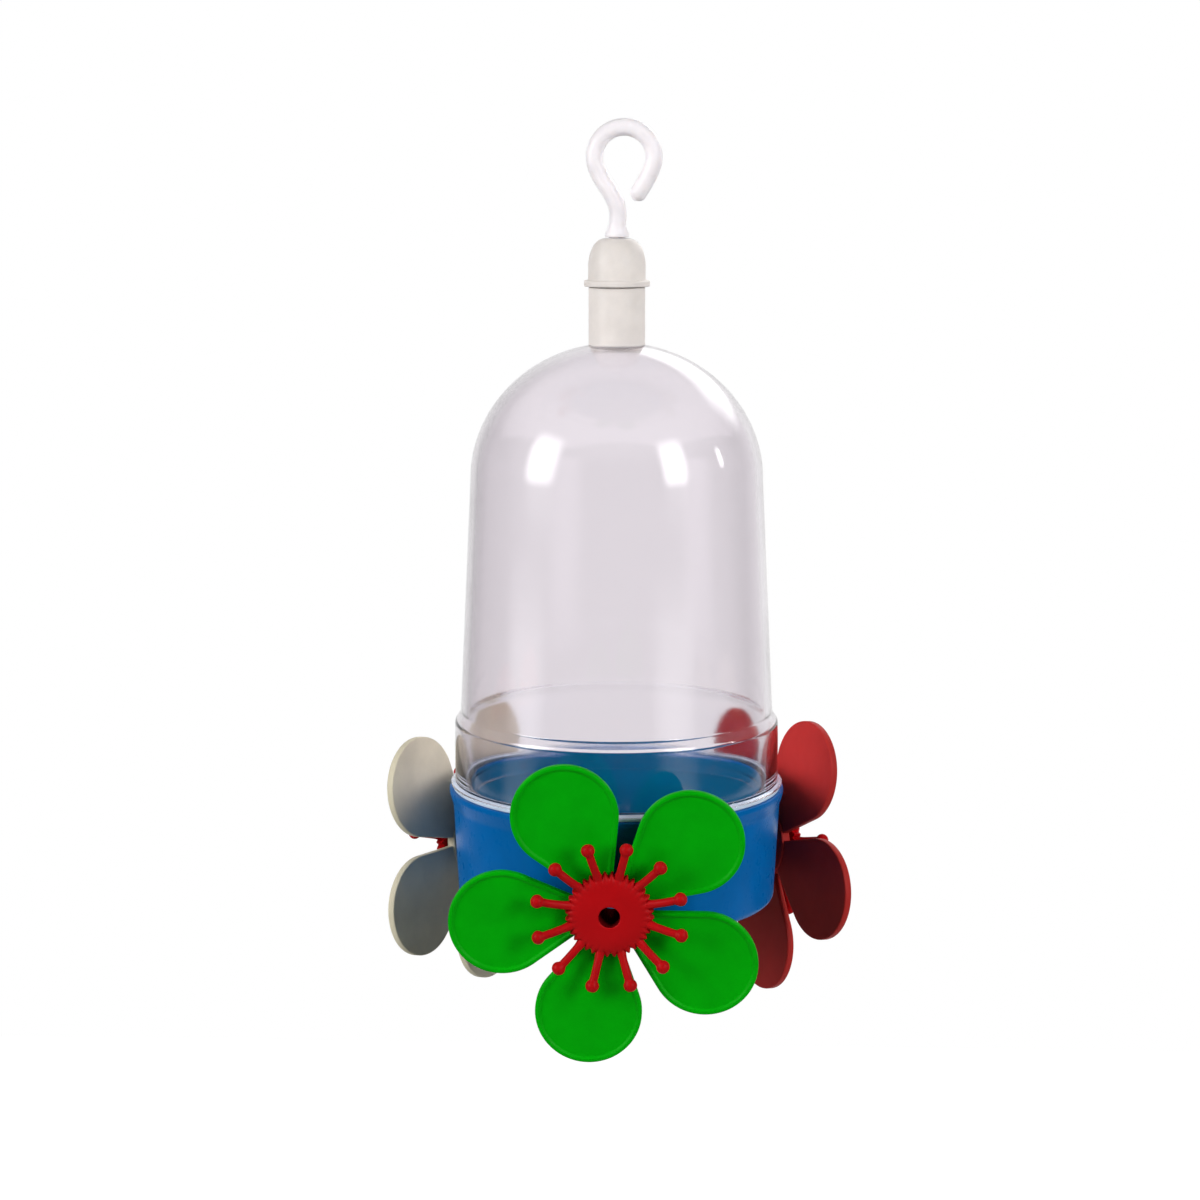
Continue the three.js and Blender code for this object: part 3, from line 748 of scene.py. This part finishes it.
def reservoir_outside():
    """The rest of the profile, from the skirt's inside round the foot and the lip up to the neck's top."""
    insert_inner = insert_radius - RESERVOIR_WALL
    land_angle = math.degrees(math.acos(LAND_RADIUS / body_high))
    foot = rounded([
        (skirt_inner, skirt_top, 0),
        (skirt_inner, lip_top, FULL),
        (insert_inner, lip_bottom, FULL),
        (insert_inner, insert_bottom, SOFT),
        (insert_radius, insert_bottom, SOFT),
        (insert_radius, rim, 0),
    ])
    heights = np.linspace(insert_bottom + THREAD_START, rim - THREAD_STOP, THREAD_RINGS)
    threaded = [np.array((insert_radius, height)) for height in heights]
    lip = rounded([
        (insert_radius, rim, 0),
        (insert_radius, lip_bottom, CRISP),
        (lip_radius, lip_bottom, FINE),
        (lip_radius, lip_bottom + LIP_EDGE, SOFT),
        (skirt_radius, lip_top, FULL),
        (skirt_radius, skirt_top, 0),
    ])
    step = step_profile(body_low, skirt_radius, step_middle, STEP_ROUNDING, wide_rounding)
    dome = arc(dome_middle, body_high, DOME_RISE, 0, land_angle, DOME_STEPS)
    top = rounded([
        (*dome[-2], 0),
        (*dome[-1], LAND_ROUNDING),
        (NECK_RADIUS, land_top, FINE),
        (NECK_RADIUS, neck_top, SOFT),
        (0, neck_top, 0),
    ])
    return [*foot[1:-1], *threaded, *lip[1:-1], *step[::-1], *dome[:-1], *top[1:]]


def reservoir():
    profile = [*reservoir_inside(), *reservoir_outside()]
    piece = move(lathe("reservoir_shell", profile, LARGE_SIDES, thread), upright)
    dress(piece, "reservoir", "reservoir_dome", clear)


# Base, its spouts and the seal
def base_solid():
    bead_bottom = rim - RIM_EDGE
    inner_foot = BASE_FOOT_RADIUS - FOOT_ROUNDING - FOOT_RING_WIDTH
    profile = rounded([
        (0, FOOT_RECESS, 0),
        (inner_foot, FOOT_RECESS, SOFT),
        (inner_foot, 0, FINE),
        (BASE_FOOT_RADIUS, 0, FOOT_ROUNDING),
        (BASE_TOP_RADIUS, bead_bottom - RIM_FLARE, RIM_FLARE_ROUNDING),
        (rim_radius, bead_bottom, RIM_BEAD_ROUNDING),
        (rim_radius, rim, SOFT),
        (0, rim, 0),
    ])
    return lathe("base_moulding", profile, LARGE_SIDES)


def base_cavity(socket_radius):
    chamfer_radius = socket_radius + SOCKET_CHAMFER_WIDTH
    profile = rounded([
        (0, BASE_FLOOR, 0),
        (BASE_FOOT_RADIUS - BASE_WALL, BASE_FLOOR, FOOT_ROUNDING),
        (socket_radius, rim - SOCKET_DEPTH, FULL),
        (socket_radius, rim - SOCKET_CHAMFER_DEPTH, CRISP),
        (chamfer_radius, rim + CHAMFER_PAST, 0),
        (chamfer_radius, rim + CUT_PAST, 0),
        (0, rim + CUT_PAST, 0),
    ])
    return lathe("cavity", profile, LARGE_SIDES)


def gate_mark():
    profile = rounded([
        (0, FOOT_RECESS - GATE_HEIGHT, 0),
        (GATE_RADIUS, FOOT_RECESS - GATE_HEIGHT, CRISP),
        (GATE_RADIUS + GATE_SPREAD, FOOT_RECESS + GATE_ROOT, 0),
        (0, FOOT_RECESS + GATE_ROOT, 0),
    ])
    return lathe("gate", profile, SMALL_SIDES)


def spout_solid():
    root = -SPOUT_PROJECTION - SPOUT_ROOT
    flare = SPOUT_RADIUS + SPOUT_FLARE
    profile = rounded([
        (0, root, 0),
        (flare, root, 0),
        (flare, -SPOUT_PROJECTION, FULL),
        (SPOUT_RADIUS, -SPOUT_PROJECTION + SPOUT_FLARE, FULL),
        (SPOUT_RADIUS, 0, SOFT),
        (0, 0, 0),
    ])
    return lathe("spout", profile, SMALL_SIDES)


def spout_hole():
    root = -SPOUT_PROJECTION - SPOUT_ROOT
    chamfer_radius = SPOUT_BORE + SPOUT_CHAMFER_WIDTH
    profile = rounded([
        (0, root, 0),
        (SPOUT_BORE, root, 0),
        (SPOUT_BORE, -SPOUT_CHAMFER_DEPTH, CRISP),
        (chamfer_radius, CHAMFER_PAST, 0),
        (chamfer_radius, CUT_PAST, 0),
        (0, CUT_PAST, 0),
    ])
    return lathe("spout_hole", profile, SMALL_SIDES)


def base():
    socket_radius = BASE_TOP_RADIUS - BASE_WALL
    spouts = [spout_frame(place) for place, _, _ in FLOWERS]
    piece = face_out(move(base_solid(), upright))
    combine(piece, face_out(move(gate_mark(), upright)), "UNION")
    for spout in spouts:
        combine(piece, face_out(move(spout_solid(), spout)), "UNION")
    combine(piece, face_out(move(base_cavity(socket_radius), upright)), "DIFFERENCE")
    for spout in spouts:
        combine(piece, face_out(move(spout_hole(), spout)), "DIFFERENCE")
    dress(piece, "base", "base_cup", blue)
    # Painted shade: the faces inside the base's socket and above its floor take the darker blue
    paint_hollow_shade(piece, upright, socket_radius, BASE_FLOOR - ON_WALL, inside_shade_blue)


def seal():
    inner = insert_radius + SEAL_GAP
    outer = seal_high.x - SEAL_INSET
    low = rim + SEAL_CONTACT
    high = lip_bottom + SEAL_CONTACT
    profile = rounded([
        (inner, low, FINE),
        (outer, low, FINE),
        (outer, high, CRISP),
        (inner, high, CRISP),
    ], closed=True)
    piece = move(lathe("seal_moulding", profile, LARGE_SIDES), upright)
    dress(piece, "seal", "seal_ring", seal_rubber)


# Sleeve, cap and hook
def sleeve():
    bore_top = sleeve_top - SLEEVE_TOP
    seat = sleeve_bottom - SEAT_GAP + SLEEVE_SEAT
    profile = rounded([
        (0, bore_top, 0),
        (SLEEVE_BORE, bore_top, SOFT),
        (SLEEVE_BORE, seat, FINE),
        (sleeve_radius, seat, CRISP),
        (sleeve_radius, sleeve_top, FINE),
        (SPIGOT_RADIUS, sleeve_top, FINE),
        (SPIGOT_RADIUS, sleeve_top + SPIGOT_HEIGHT, SOFT),
        (0, sleeve_top + SPIGOT_HEIGHT, 0),
    ])
    piece = move(lathe("sleeve_moulding", profile, SMALL_SIDES), upright)
    dress(piece, "reservoir", "neck_sleeve", ivory)


def cap():
    ceiling = cap_top - CAP_CEILING
    side_top = cap_bottom + CAP_SIDE
    flange_top = cap_bottom + CAP_FLANGE_HEIGHT
    seat_edge = STEM_HOLE + CAP_SEAT
    below = rounded([
        (seat_edge, ceiling, 0),
        (CAP_BORE, ceiling - CAP_CHAMFER, SOFT),
        (CAP_BORE, cap_bottom, FINE),
        (cap_flange, cap_bottom, FINE),
        (cap_flange, flange_top, SOFT),
        (CAP_RADIUS, flange_top, SOFT),
        (CAP_RADIUS, side_top, 0),
    ])
    shoulder = (CAP_FACE_RADIUS, side_top)
    crown = arc(shoulder, CAP_RADIUS - CAP_FACE_RADIUS, cap_top - side_top, 0, 90, CAP_STEPS)
    hole = rounded([
        (CAP_FACE_RADIUS, cap_top, 0),
        (STEM_HOLE, cap_top, FINE),
        (STEM_HOLE, ceiling, CRISP),
        (seat_edge, ceiling, 0),
    ])
    profile = [*below, *crown[1:], *hole[1:-1]]
    piece = move(lathe("cap_moulding", profile, SMALL_SIDES), upright)
    dress(piece, "reservoir", "hanger_cap", ivory)


def hook_line():
    """The middle of the hook's wire: its stem, the eye and a straight tip."""
    bend = cap_top + HOOK_STEM
    eye = bend + EYE_RISE
    points = [(0, 0, cap_top + HOOK_FOOT_GAP + HOOK_FOOT_EDGE), (0, 0, bend)]
    for angle in np.radians(np.linspace(EYE_START, EYE_END, EYE_STEPS + 1)):
        points.append((EYE_OFFSET + EYE_RADIUS * math.cos(angle), 0, eye + EYE_RADIUS * math.sin(angle)))
    end = math.radians(EYE_END)
    across, _, up = points[-1]
    points.append((across + HOOK_TIP * math.sin(end), 0, up - HOOK_TIP * math.cos(end)))
    return spline(points)


def hook_radii(line):
    """The wire's radius along its line, rounded off at the tip."""
    lengths = np.linalg.norm(np.diff(np.array(line), axis=0), axis=1)
    radii = []
    for to_tip in np.append(np.cumsum(lengths[::-1])[::-1], 0.0):
        into_tip = max(0.0, 1 - to_tip / HOOK_WIRE)
        radii.append(HOOK_WIRE * max(HOOK_TIP_FLAT, math.sqrt(1 - into_tip ** 2)))
    return radii


def parting_ridge(angle):
    """Scale of the wire's radius around it, with a fine ridge where the halves of the mould meet."""
    return 1 + PARTING_RIDGE / HOOK_WIRE * math.exp(-((math.sin(angle) / PARTING_WIDTH) ** 2))


def hook_stem():
    head_top = head_bottom + HOOK_HEAD_HEIGHT
    foot = cap_top + HOOK_FOOT_GAP
    foot_top = foot + HOOK_FOOT_HEIGHT
    profile = rounded([
        (0, head_bottom, 0),
        (HOOK_HEAD_RADIUS, head_bottom, SOFT),
        (HOOK_HEAD_RADIUS, head_top, SOFT),
        (HOOK_WIRE, head_top, FINE),
        (HOOK_WIRE, foot, CRISP),
        (HOOK_FOOT_RADIUS, foot, FINE),
        (HOOK_FOOT_RADIUS, foot + HOOK_FOOT_EDGE, FULL),
        (HOOK_FOOT_TOP_RADIUS, foot_top, 0),
        (0, foot_top, 0),
    ])
    return lathe("hook_stem", profile, STEM_SIDES)


def hook():
    line = hook_line()
    piece = face_out(sweep("hook_moulding", line, hook_radii(line), HOOK_SIDES, parting_ridge))
    combine(piece, face_out(hook_stem()), "UNION")
    dress(move(piece, upright), "hanger", "hook", milky)


# Flowers
def petal_outline():
    """Points and outward directions around a petal along +X: two circles joined by their outer tangents."""
    apart = PETAL_REACH - PETAL_ROOT_REACH
    narrowing = PETAL_RADIUS - PETAL_ROOT_RADIUS
    turn = math.pi / 2 + math.asin(narrowing / apart)
    side = math.sqrt(apart ** 2 - narrowing ** 2)
    tip_arc = 2 * turn * PETAL_RADIUS
    root_arc = 2 * (math.pi - turn) * PETAL_ROOT_RADIUS
    points = []
    for along in np.arange(PETAL_SIDES) / PETAL_SIDES * (tip_arc + side + root_arc + side):
        if along < tip_arc:
            angle = -turn + along / PETAL_RADIUS
            to_root = 0.0
        elif along < tip_arc + side:
            angle = turn
            to_root = (along - tip_arc) / side
        elif along < tip_arc + side + root_arc:
            angle = turn + (along - tip_arc - side) / PETAL_ROOT_RADIUS
            to_root = 1.0
        else:
            angle = -turn
            to_root = 1 - (along - tip_arc - side - root_arc) / side
        out = np.array((math.cos(angle), math.sin(angle)))
        middle = np.array((PETAL_REACH - apart * to_root, 0.0))
        points.append((middle + (PETAL_RADIUS - narrowing * to_root) * out, out))
    return points


def petal_rings(middle, lifted):
    """Rings of points from the middle of a petal's face, over its beaded edge, to the middle of its back."""
    outline = petal_outline()
    half = PETAL_THICKNESS / 2
    crest = half + PETAL_BEAD
    edge = rounded([
        (PETAL_FACE_INSET, half, 0),
        (PETAL_BEAD_FOOT, half, SOFT),
        (PETAL_BEAD_CREST, crest, FINE),
        (0, crest, SOFT),
        (0, -half, FINE),
        (PETAL_BACK_INSET, -half, 0),
    ], steps=PETAL_EDGE_STEPS)
    layers = [
        *((PETAL_FACE_INSET, half, share) for share in PETAL_FACE_RINGS),
        *((inset, offset, 1.0) for inset, offset in edge),
        *((PETAL_BACK_INSET, -half, share) for share in PETAL_BACK_RINGS),
    ]
    return [
        [lifted(middle + (spot - out * inset - middle) * share, offset) for spot, out in outline]
        for inset, offset, share in layers
    ]


def petal():
    half = PETAL_THICKNESS / 2
    middle = np.array((PETAL_REACH, 0.0))

    def lifted(spot, offset):
        share = np.linalg.norm(spot) / (PETAL_REACH + PETAL_RADIUS)
        plane = (FLOWER_HUB_BACK + FLOWER_HUB_FRONT) / 2
        return (*spot, plane + PETAL_CUP * share ** 2 + offset)

    rings = petal_rings(middle, lifted)
    vertices = [lifted(middle, half), *(spot for ring in rings for spot in ring), lifted(middle, -half)]
    last = 1 + (len(rings) - 1) * PETAL_SIDES
    faces = []
    for side in range(PETAL_SIDES):
        following = (side + 1) % PETAL_SIDES
        faces.append([0, 1 + side, 1 + following])
        for here in range(1, last, PETAL_SIDES):
            beyond = here + PETAL_SIDES
            faces.append([here + side, beyond + side, beyond + following, here + following])
        faces.append([last + side, len(vertices) - 1, last + following])
    return new_piece("petal", vertices, faces)


def flower_mesh():
    hub = rounded([
        (0, FLOWER_HUB_BACK, 0),
        (FLOWER_HUB_RADIUS, FLOWER_HUB_BACK, SOFT),
        (FLOWER_HUB_RADIUS, FLOWER_HUB_FRONT, SOFT),
        (0, FLOWER_HUB_FRONT, 0),
    ])
    flower = face_out(lathe("flower", hub, SMALL_SIDES))
    for index in range(PETAL_COUNT):
        turned = Matrix.Rotation(2 * math.pi * index / PETAL_COUNT, 4, "Z")
        combine(flower, face_out(move(petal(), turned)), "UNION")
    back = FLOWER_HUB_BACK - CUT_PAST
    front = FLOWER_HUB_FRONT + CUT_PAST
    hole = [(0, back), (FLOWER_BORE, back), (FLOWER_BORE, front), (0, front)]
    combine(flower, face_out(lathe("flower_hole", hole, SMALL_SIDES)), "DIFFERENCE")
    mesh = flower.data
    bpy.data.objects.remove(flower)
    return mesh


# Nozzles
def filament():
    root = np.array((CROWN_RADIUS - FILAMENT_ROOT_RADIUS, 0, CROWN_BACK + FILAMENT_ROOT_RADIUS))
    tip = np.array((FILAMENT_REACH, 0, CROWN_BACK + FILAMENT_LIFT))
    bend = np.array(((root[0] + tip[0]) / 2, 0, tip[2]))
    line, radii = [], []
    for share in np.linspace(0, 1, FILAMENT_RINGS):
        line.append((1 - share) ** 2 * root + 2 * share * (1 - share) * bend + share ** 2 * tip)
        widening = max(0.0, 1 - share / FILAMENT_ROOT_SHARE) ** 2
        stalk = FILAMENT_RADIUS + (FILAMENT_ROOT_RADIUS - FILAMENT_RADIUS) * widening
        from_anther = (share - ANTHER_PLACE) / (1 - ANTHER_PLACE)
        anther = ANTHER_RADIUS * math.sqrt(max(0.0, 1 - from_anther ** 2))
        radii.append(max(anther, stalk if share < ANTHER_PLACE else FILAMENT_TIP_RADIUS))
    return sweep("filament", line, radii, FILAMENT_SIDES)


def flute(radius, height, angle):
    """Radius lost between the ribs around the crown's edge. Each filament grows out of one of them."""
    share = min(1.0, max(0.0, (radius - CROWN_SMOOTH_RADIUS) / (CROWN_RADIUS - CROWN_SMOOTH_RADIUS)))
    valley = (1 - math.cos(CROWN_FLUTES * (angle - math.radians(FILAMENT_TURN)))) / 2
    return -CROWN_FLUTE_DEPTH * share ** 2 * valley


def nozzle_mesh():
    front = CROWN_BACK + CROWN_RISE
    edge_top = CROWN_BACK + CROWN_EDGE
    face = NOZZLE_BORE + CROWN_LIP
    tube = rounded([
        (NOZZLE_BORE, front - MOUTH_DEPTH, 0),
        (NOZZLE_BORE, TUBE_END, FINE),
        (TUBE_RADIUS - TUBE_CHAMFER, TUBE_END, FINE),
        (TUBE_RADIUS, TUBE_END + TUBE_CHAMFER, FINE),
        (TUBE_RADIUS, CROWN_BACK, CRISP),
        (CROWN_RADIUS, CROWN_BACK, FINE),
        (CROWN_RADIUS, edge_top, 0),
    ])
    dome = arc((face, edge_top), CROWN_RADIUS - face, CROWN_RISE - CROWN_EDGE, 0, 90, CROWN_STEPS)
    mouth = rounded([
        (face, front, 0),
        (NOZZLE_BORE, front, SOFT),
        (NOZZLE_BORE, front - MOUTH_DEPTH, 0),
    ])
    nozzle = face_out(lathe("nozzle", [*tube, *dome[1:], *mouth[1:-1]], CROWN_SIDES, flute))
    for index in range(FILAMENT_COUNT):
        angle = math.radians(FILAMENT_TURN) + 2 * math.pi * index / FILAMENT_COUNT
        combine(nozzle, face_out(move(filament(), Matrix.Rotation(angle, 4, "Z"))), "UNION")
    mesh = nozzle.data
    bpy.data.objects.remove(nozzle)
    return mesh


def placed(name, mesh, matrix):
    return move(new_object(name, mesh.copy()), matrix)


# Assembly
reservoir()
base()
seal()
sleeve()
cap()
hook()
flower_shape = flower_mesh()
nozzle_shape = nozzle_mesh()
for place, colour, turn in FLOWERS:
    own = spout_frame(place)
    turned = own @ Matrix.Rotation(math.radians(turn), 4, "Z")
    petals = placed(f"{colour}_flower", flower_shape, turned)
    dress(petals, f"{place}_flower", f"flower_{colour}", petal_plastic[colour])
    feeding = placed(f"{place}_nozzle", nozzle_shape, own)
    dress(feeding, f"{place}_nozzle", f"nozzle_{place}", nozzle_red)
    # Painted shade: the faces inside the nozzle's bore take the darker red
    paint_hollow_shade(feeding, own, NOZZLE_BORE, TUBE_END, nozzle_bore_shade)
bpy.data.meshes.remove(flower_shape)
bpy.data.meshes.remove(nozzle_shape)


# Camera
def direction(azimuth, elevation):
    """From the object towards a place around it: azimuth 0 is in front, and positive turns towards +X."""
    around, up = math.radians(azimuth), math.radians(elevation)
    return Vector((math.sin(around) * math.cos(up), -math.cos(around) * math.cos(up), math.sin(up)))


def aim(thing, towards):
    thing.rotation_mode = "QUATERNION"
    thing.rotation_quaternion = towards.to_track_quat("-Z", "Y")


def camera():
    away = direction(VIEW_AZIMUTH, VIEW_ELEVATION)
    right = direction(VIEW_AZIMUTH + 90, 0)
    target = Vector((0, 0, underside + VIEW_HEIGHT)) + right * VIEW_SHIFT
    lens = bpy.data.cameras.new("camera")
    lens.lens = SENSOR_WIDTH * FOCAL_PIXELS / FRAME_PIXELS
    lens.sensor_width = SENSOR_WIDTH
    lens.clip_start = CLIP_START
    seen = new_object("camera", lens)
    seen.location = (target + away * VIEW_DISTANCE) * MM
    aim(seen, -away)
    bpy.context.scene.camera = seen


# Lamps, room and floor
def fade_edges(lamp):
    """Makes a softbox brightest in its middle, as a real one is."""
    lamp.use_nodes = True
    tree = lamp.node_tree
    place = tree.nodes.new("ShaderNodeNewGeometry")
    split = tree.nodes.new("ShaderNodeSeparateXYZ")
    tree.links.new(place.outputs["Parametric"], split.inputs["Vector"])
    level = 1.0
    for axis in ("X", "Y"):
        across = calculate(tree, "SUBTRACT", split.outputs[axis], 0.5)
        inwards = calculate(tree, "SUBTRACT", 0.5, calculate(tree, "ABSOLUTE", across, 0))
        level = calculate(tree, "MULTIPLY", fade(tree, inwards, 0, SOFT_EDGE), level)
    tree.links.new(level, tree.nodes["Emission"].inputs["Strength"])


def softbox(name, azimuth, elevation, width, height, radiance):
    """A lamp of a given mean radiance, which the fade at its edges doesn't change."""
    away = direction(azimuth, elevation)
    lamp = bpy.data.lights.new(name, "AREA")
    lamp.shape = "RECTANGLE"
    lamp.size = width
    lamp.size_y = height
    lamp.energy = radiance * math.pi * width * height / (1 - SOFT_EDGE) ** 2
    fade_edges(lamp)
    held = new_object(name, lamp)
    centre = Vector((0, 0, (underside + VIEW_HEIGHT) * MM))
    held.location = centre + away * LIGHT_DISTANCE
    aim(held, -away)
    held.visible_camera = False
    held.visible_transmission = False


def first_sight(tree, depth):
    """1 for a ray that has met no surface of this depth's kind on its way from the camera."""
    path = tree.nodes.new("ShaderNodeLightPath")
    return calculate(tree, "LESS_THAN", path.outputs[depth], 0.5)


def sight_lines(tree):
    """1 for the camera's own rays and for those that reach it through clear pieces or from glossy ones, and 0
    for the light that falls on pieces."""
    path = tree.nodes.new("ShaderNodeLightPath")
    kinds = calculate(tree, "MAXIMUM", path.outputs["Is Camera Ray"], path.outputs["Is Transmission Ray"])
    kinds = calculate(tree, "MAXIMUM", kinds, path.outputs["Is Glossy Ray"])
    return calculate(tree, "MULTIPLY", kinds, first_sight(tree, "Diffuse Depth"))


def facing(tree, ray, azimuth):
    """The cosine between a ray and a level direction."""
    node = tree.nodes.new("ShaderNodeVectorMath")
    node.operation = "DOT_PRODUCT"
    tree.links.new(ray, node.inputs[0])
    node.inputs[1].default_value = direction(azimuth, 0)
    return node.outputs["Value"]


def room():
    """A white backdrop all round for the camera and through clear pieces. Mirrored, it is white behind the
    feeder and dims towards the sides and the front, where the dark side of the room is, apart from a pale
    ceiling and a low glow under each front softbox."""
    world = bpy.data.worlds.new("room")
    bpy.context.scene.world = world
    world.use_nodes = True
    tree = world.node_tree
    ray = tree.nodes.new("ShaderNodeTexCoord").outputs["Generated"]
    mirrored = fade(tree, facing(tree, ray, BACKDROP_AZIMUTH), BACKDROP_DIM, BACKDROP_WHITE, ROOM, 1.0)
    split = tree.nodes.new("ShaderNodeSeparateXYZ")
    tree.links.new(ray, split.inputs["Vector"])
    height = split.outputs["Z"]
    mirrored = calculate(tree, "MAXIMUM", mirrored, fade(tree, height, *CEILING_EDGE, 0, CEILING))
    low = calculate(tree, "MULTIPLY", fade(tree, height, *GLOW_ABOVE), fade(tree, height, *GLOW_BELOW))
    for azimuth in GLOW_AZIMUTHS:
        beside = fade(tree, facing(tree, ray, azimuth), GLOW_EDGE, GLOW_MIDDLE, 0, GLOW)
        mirrored = calculate(tree, "ADD", mirrored, calculate(tree, "MULTIPLY", beside, low))
    wall = calculate(tree, "MAXIMUM", first_sight(tree, "Glossy Depth"), mirrored)
    strength = calculate(tree, "MAXIMUM", calculate(tree, "MULTIPLY", sight_lines(tree), wall), AMBIENT)
    background = tree.nodes["Background"]
    fill(background, Color=(1, 1, 1, 1))
    tree.links.new(strength, background.inputs["Strength"])


def floor():
    """A plain white floor well below the hanging feeder, which keeps its shadow."""
    nodes = Nodes("floor")
    skin = nodes.principled
    fill(skin, Base_Color=FLOOR_GREY, Roughness=FLOOR_ROUGHNESS, Specular_IOR_Level=0.0)
    glow = nodes.add("ShaderNodeEmission", Color=(1, 1, 1, 1), Strength=FLOOR_GLOW)
    share = calculate(nodes.tree, "MULTIPLY", sight_lines(nodes.tree), FLOOR_GLOW_SHARE)
    nodes.surface(share, skin.outputs["BSDF"], glow.outputs["Emission"])
    half = FLOOR_SIZE / 2
    height = cad_box[0].z - FLOOR_DROP
    corners = [(-half, -half, height), (half, -half, height), (half, half, height), (-half, half, height)]
    ground = new_piece("floor", corners, [[0, 1, 2, 3]])
    ground.data.materials.append(nodes.material)


camera()
for box in SOFTBOXES:
    softbox(*box)
room()
floor()
bpy.context.scene.view_settings.view_transform = "Standard"
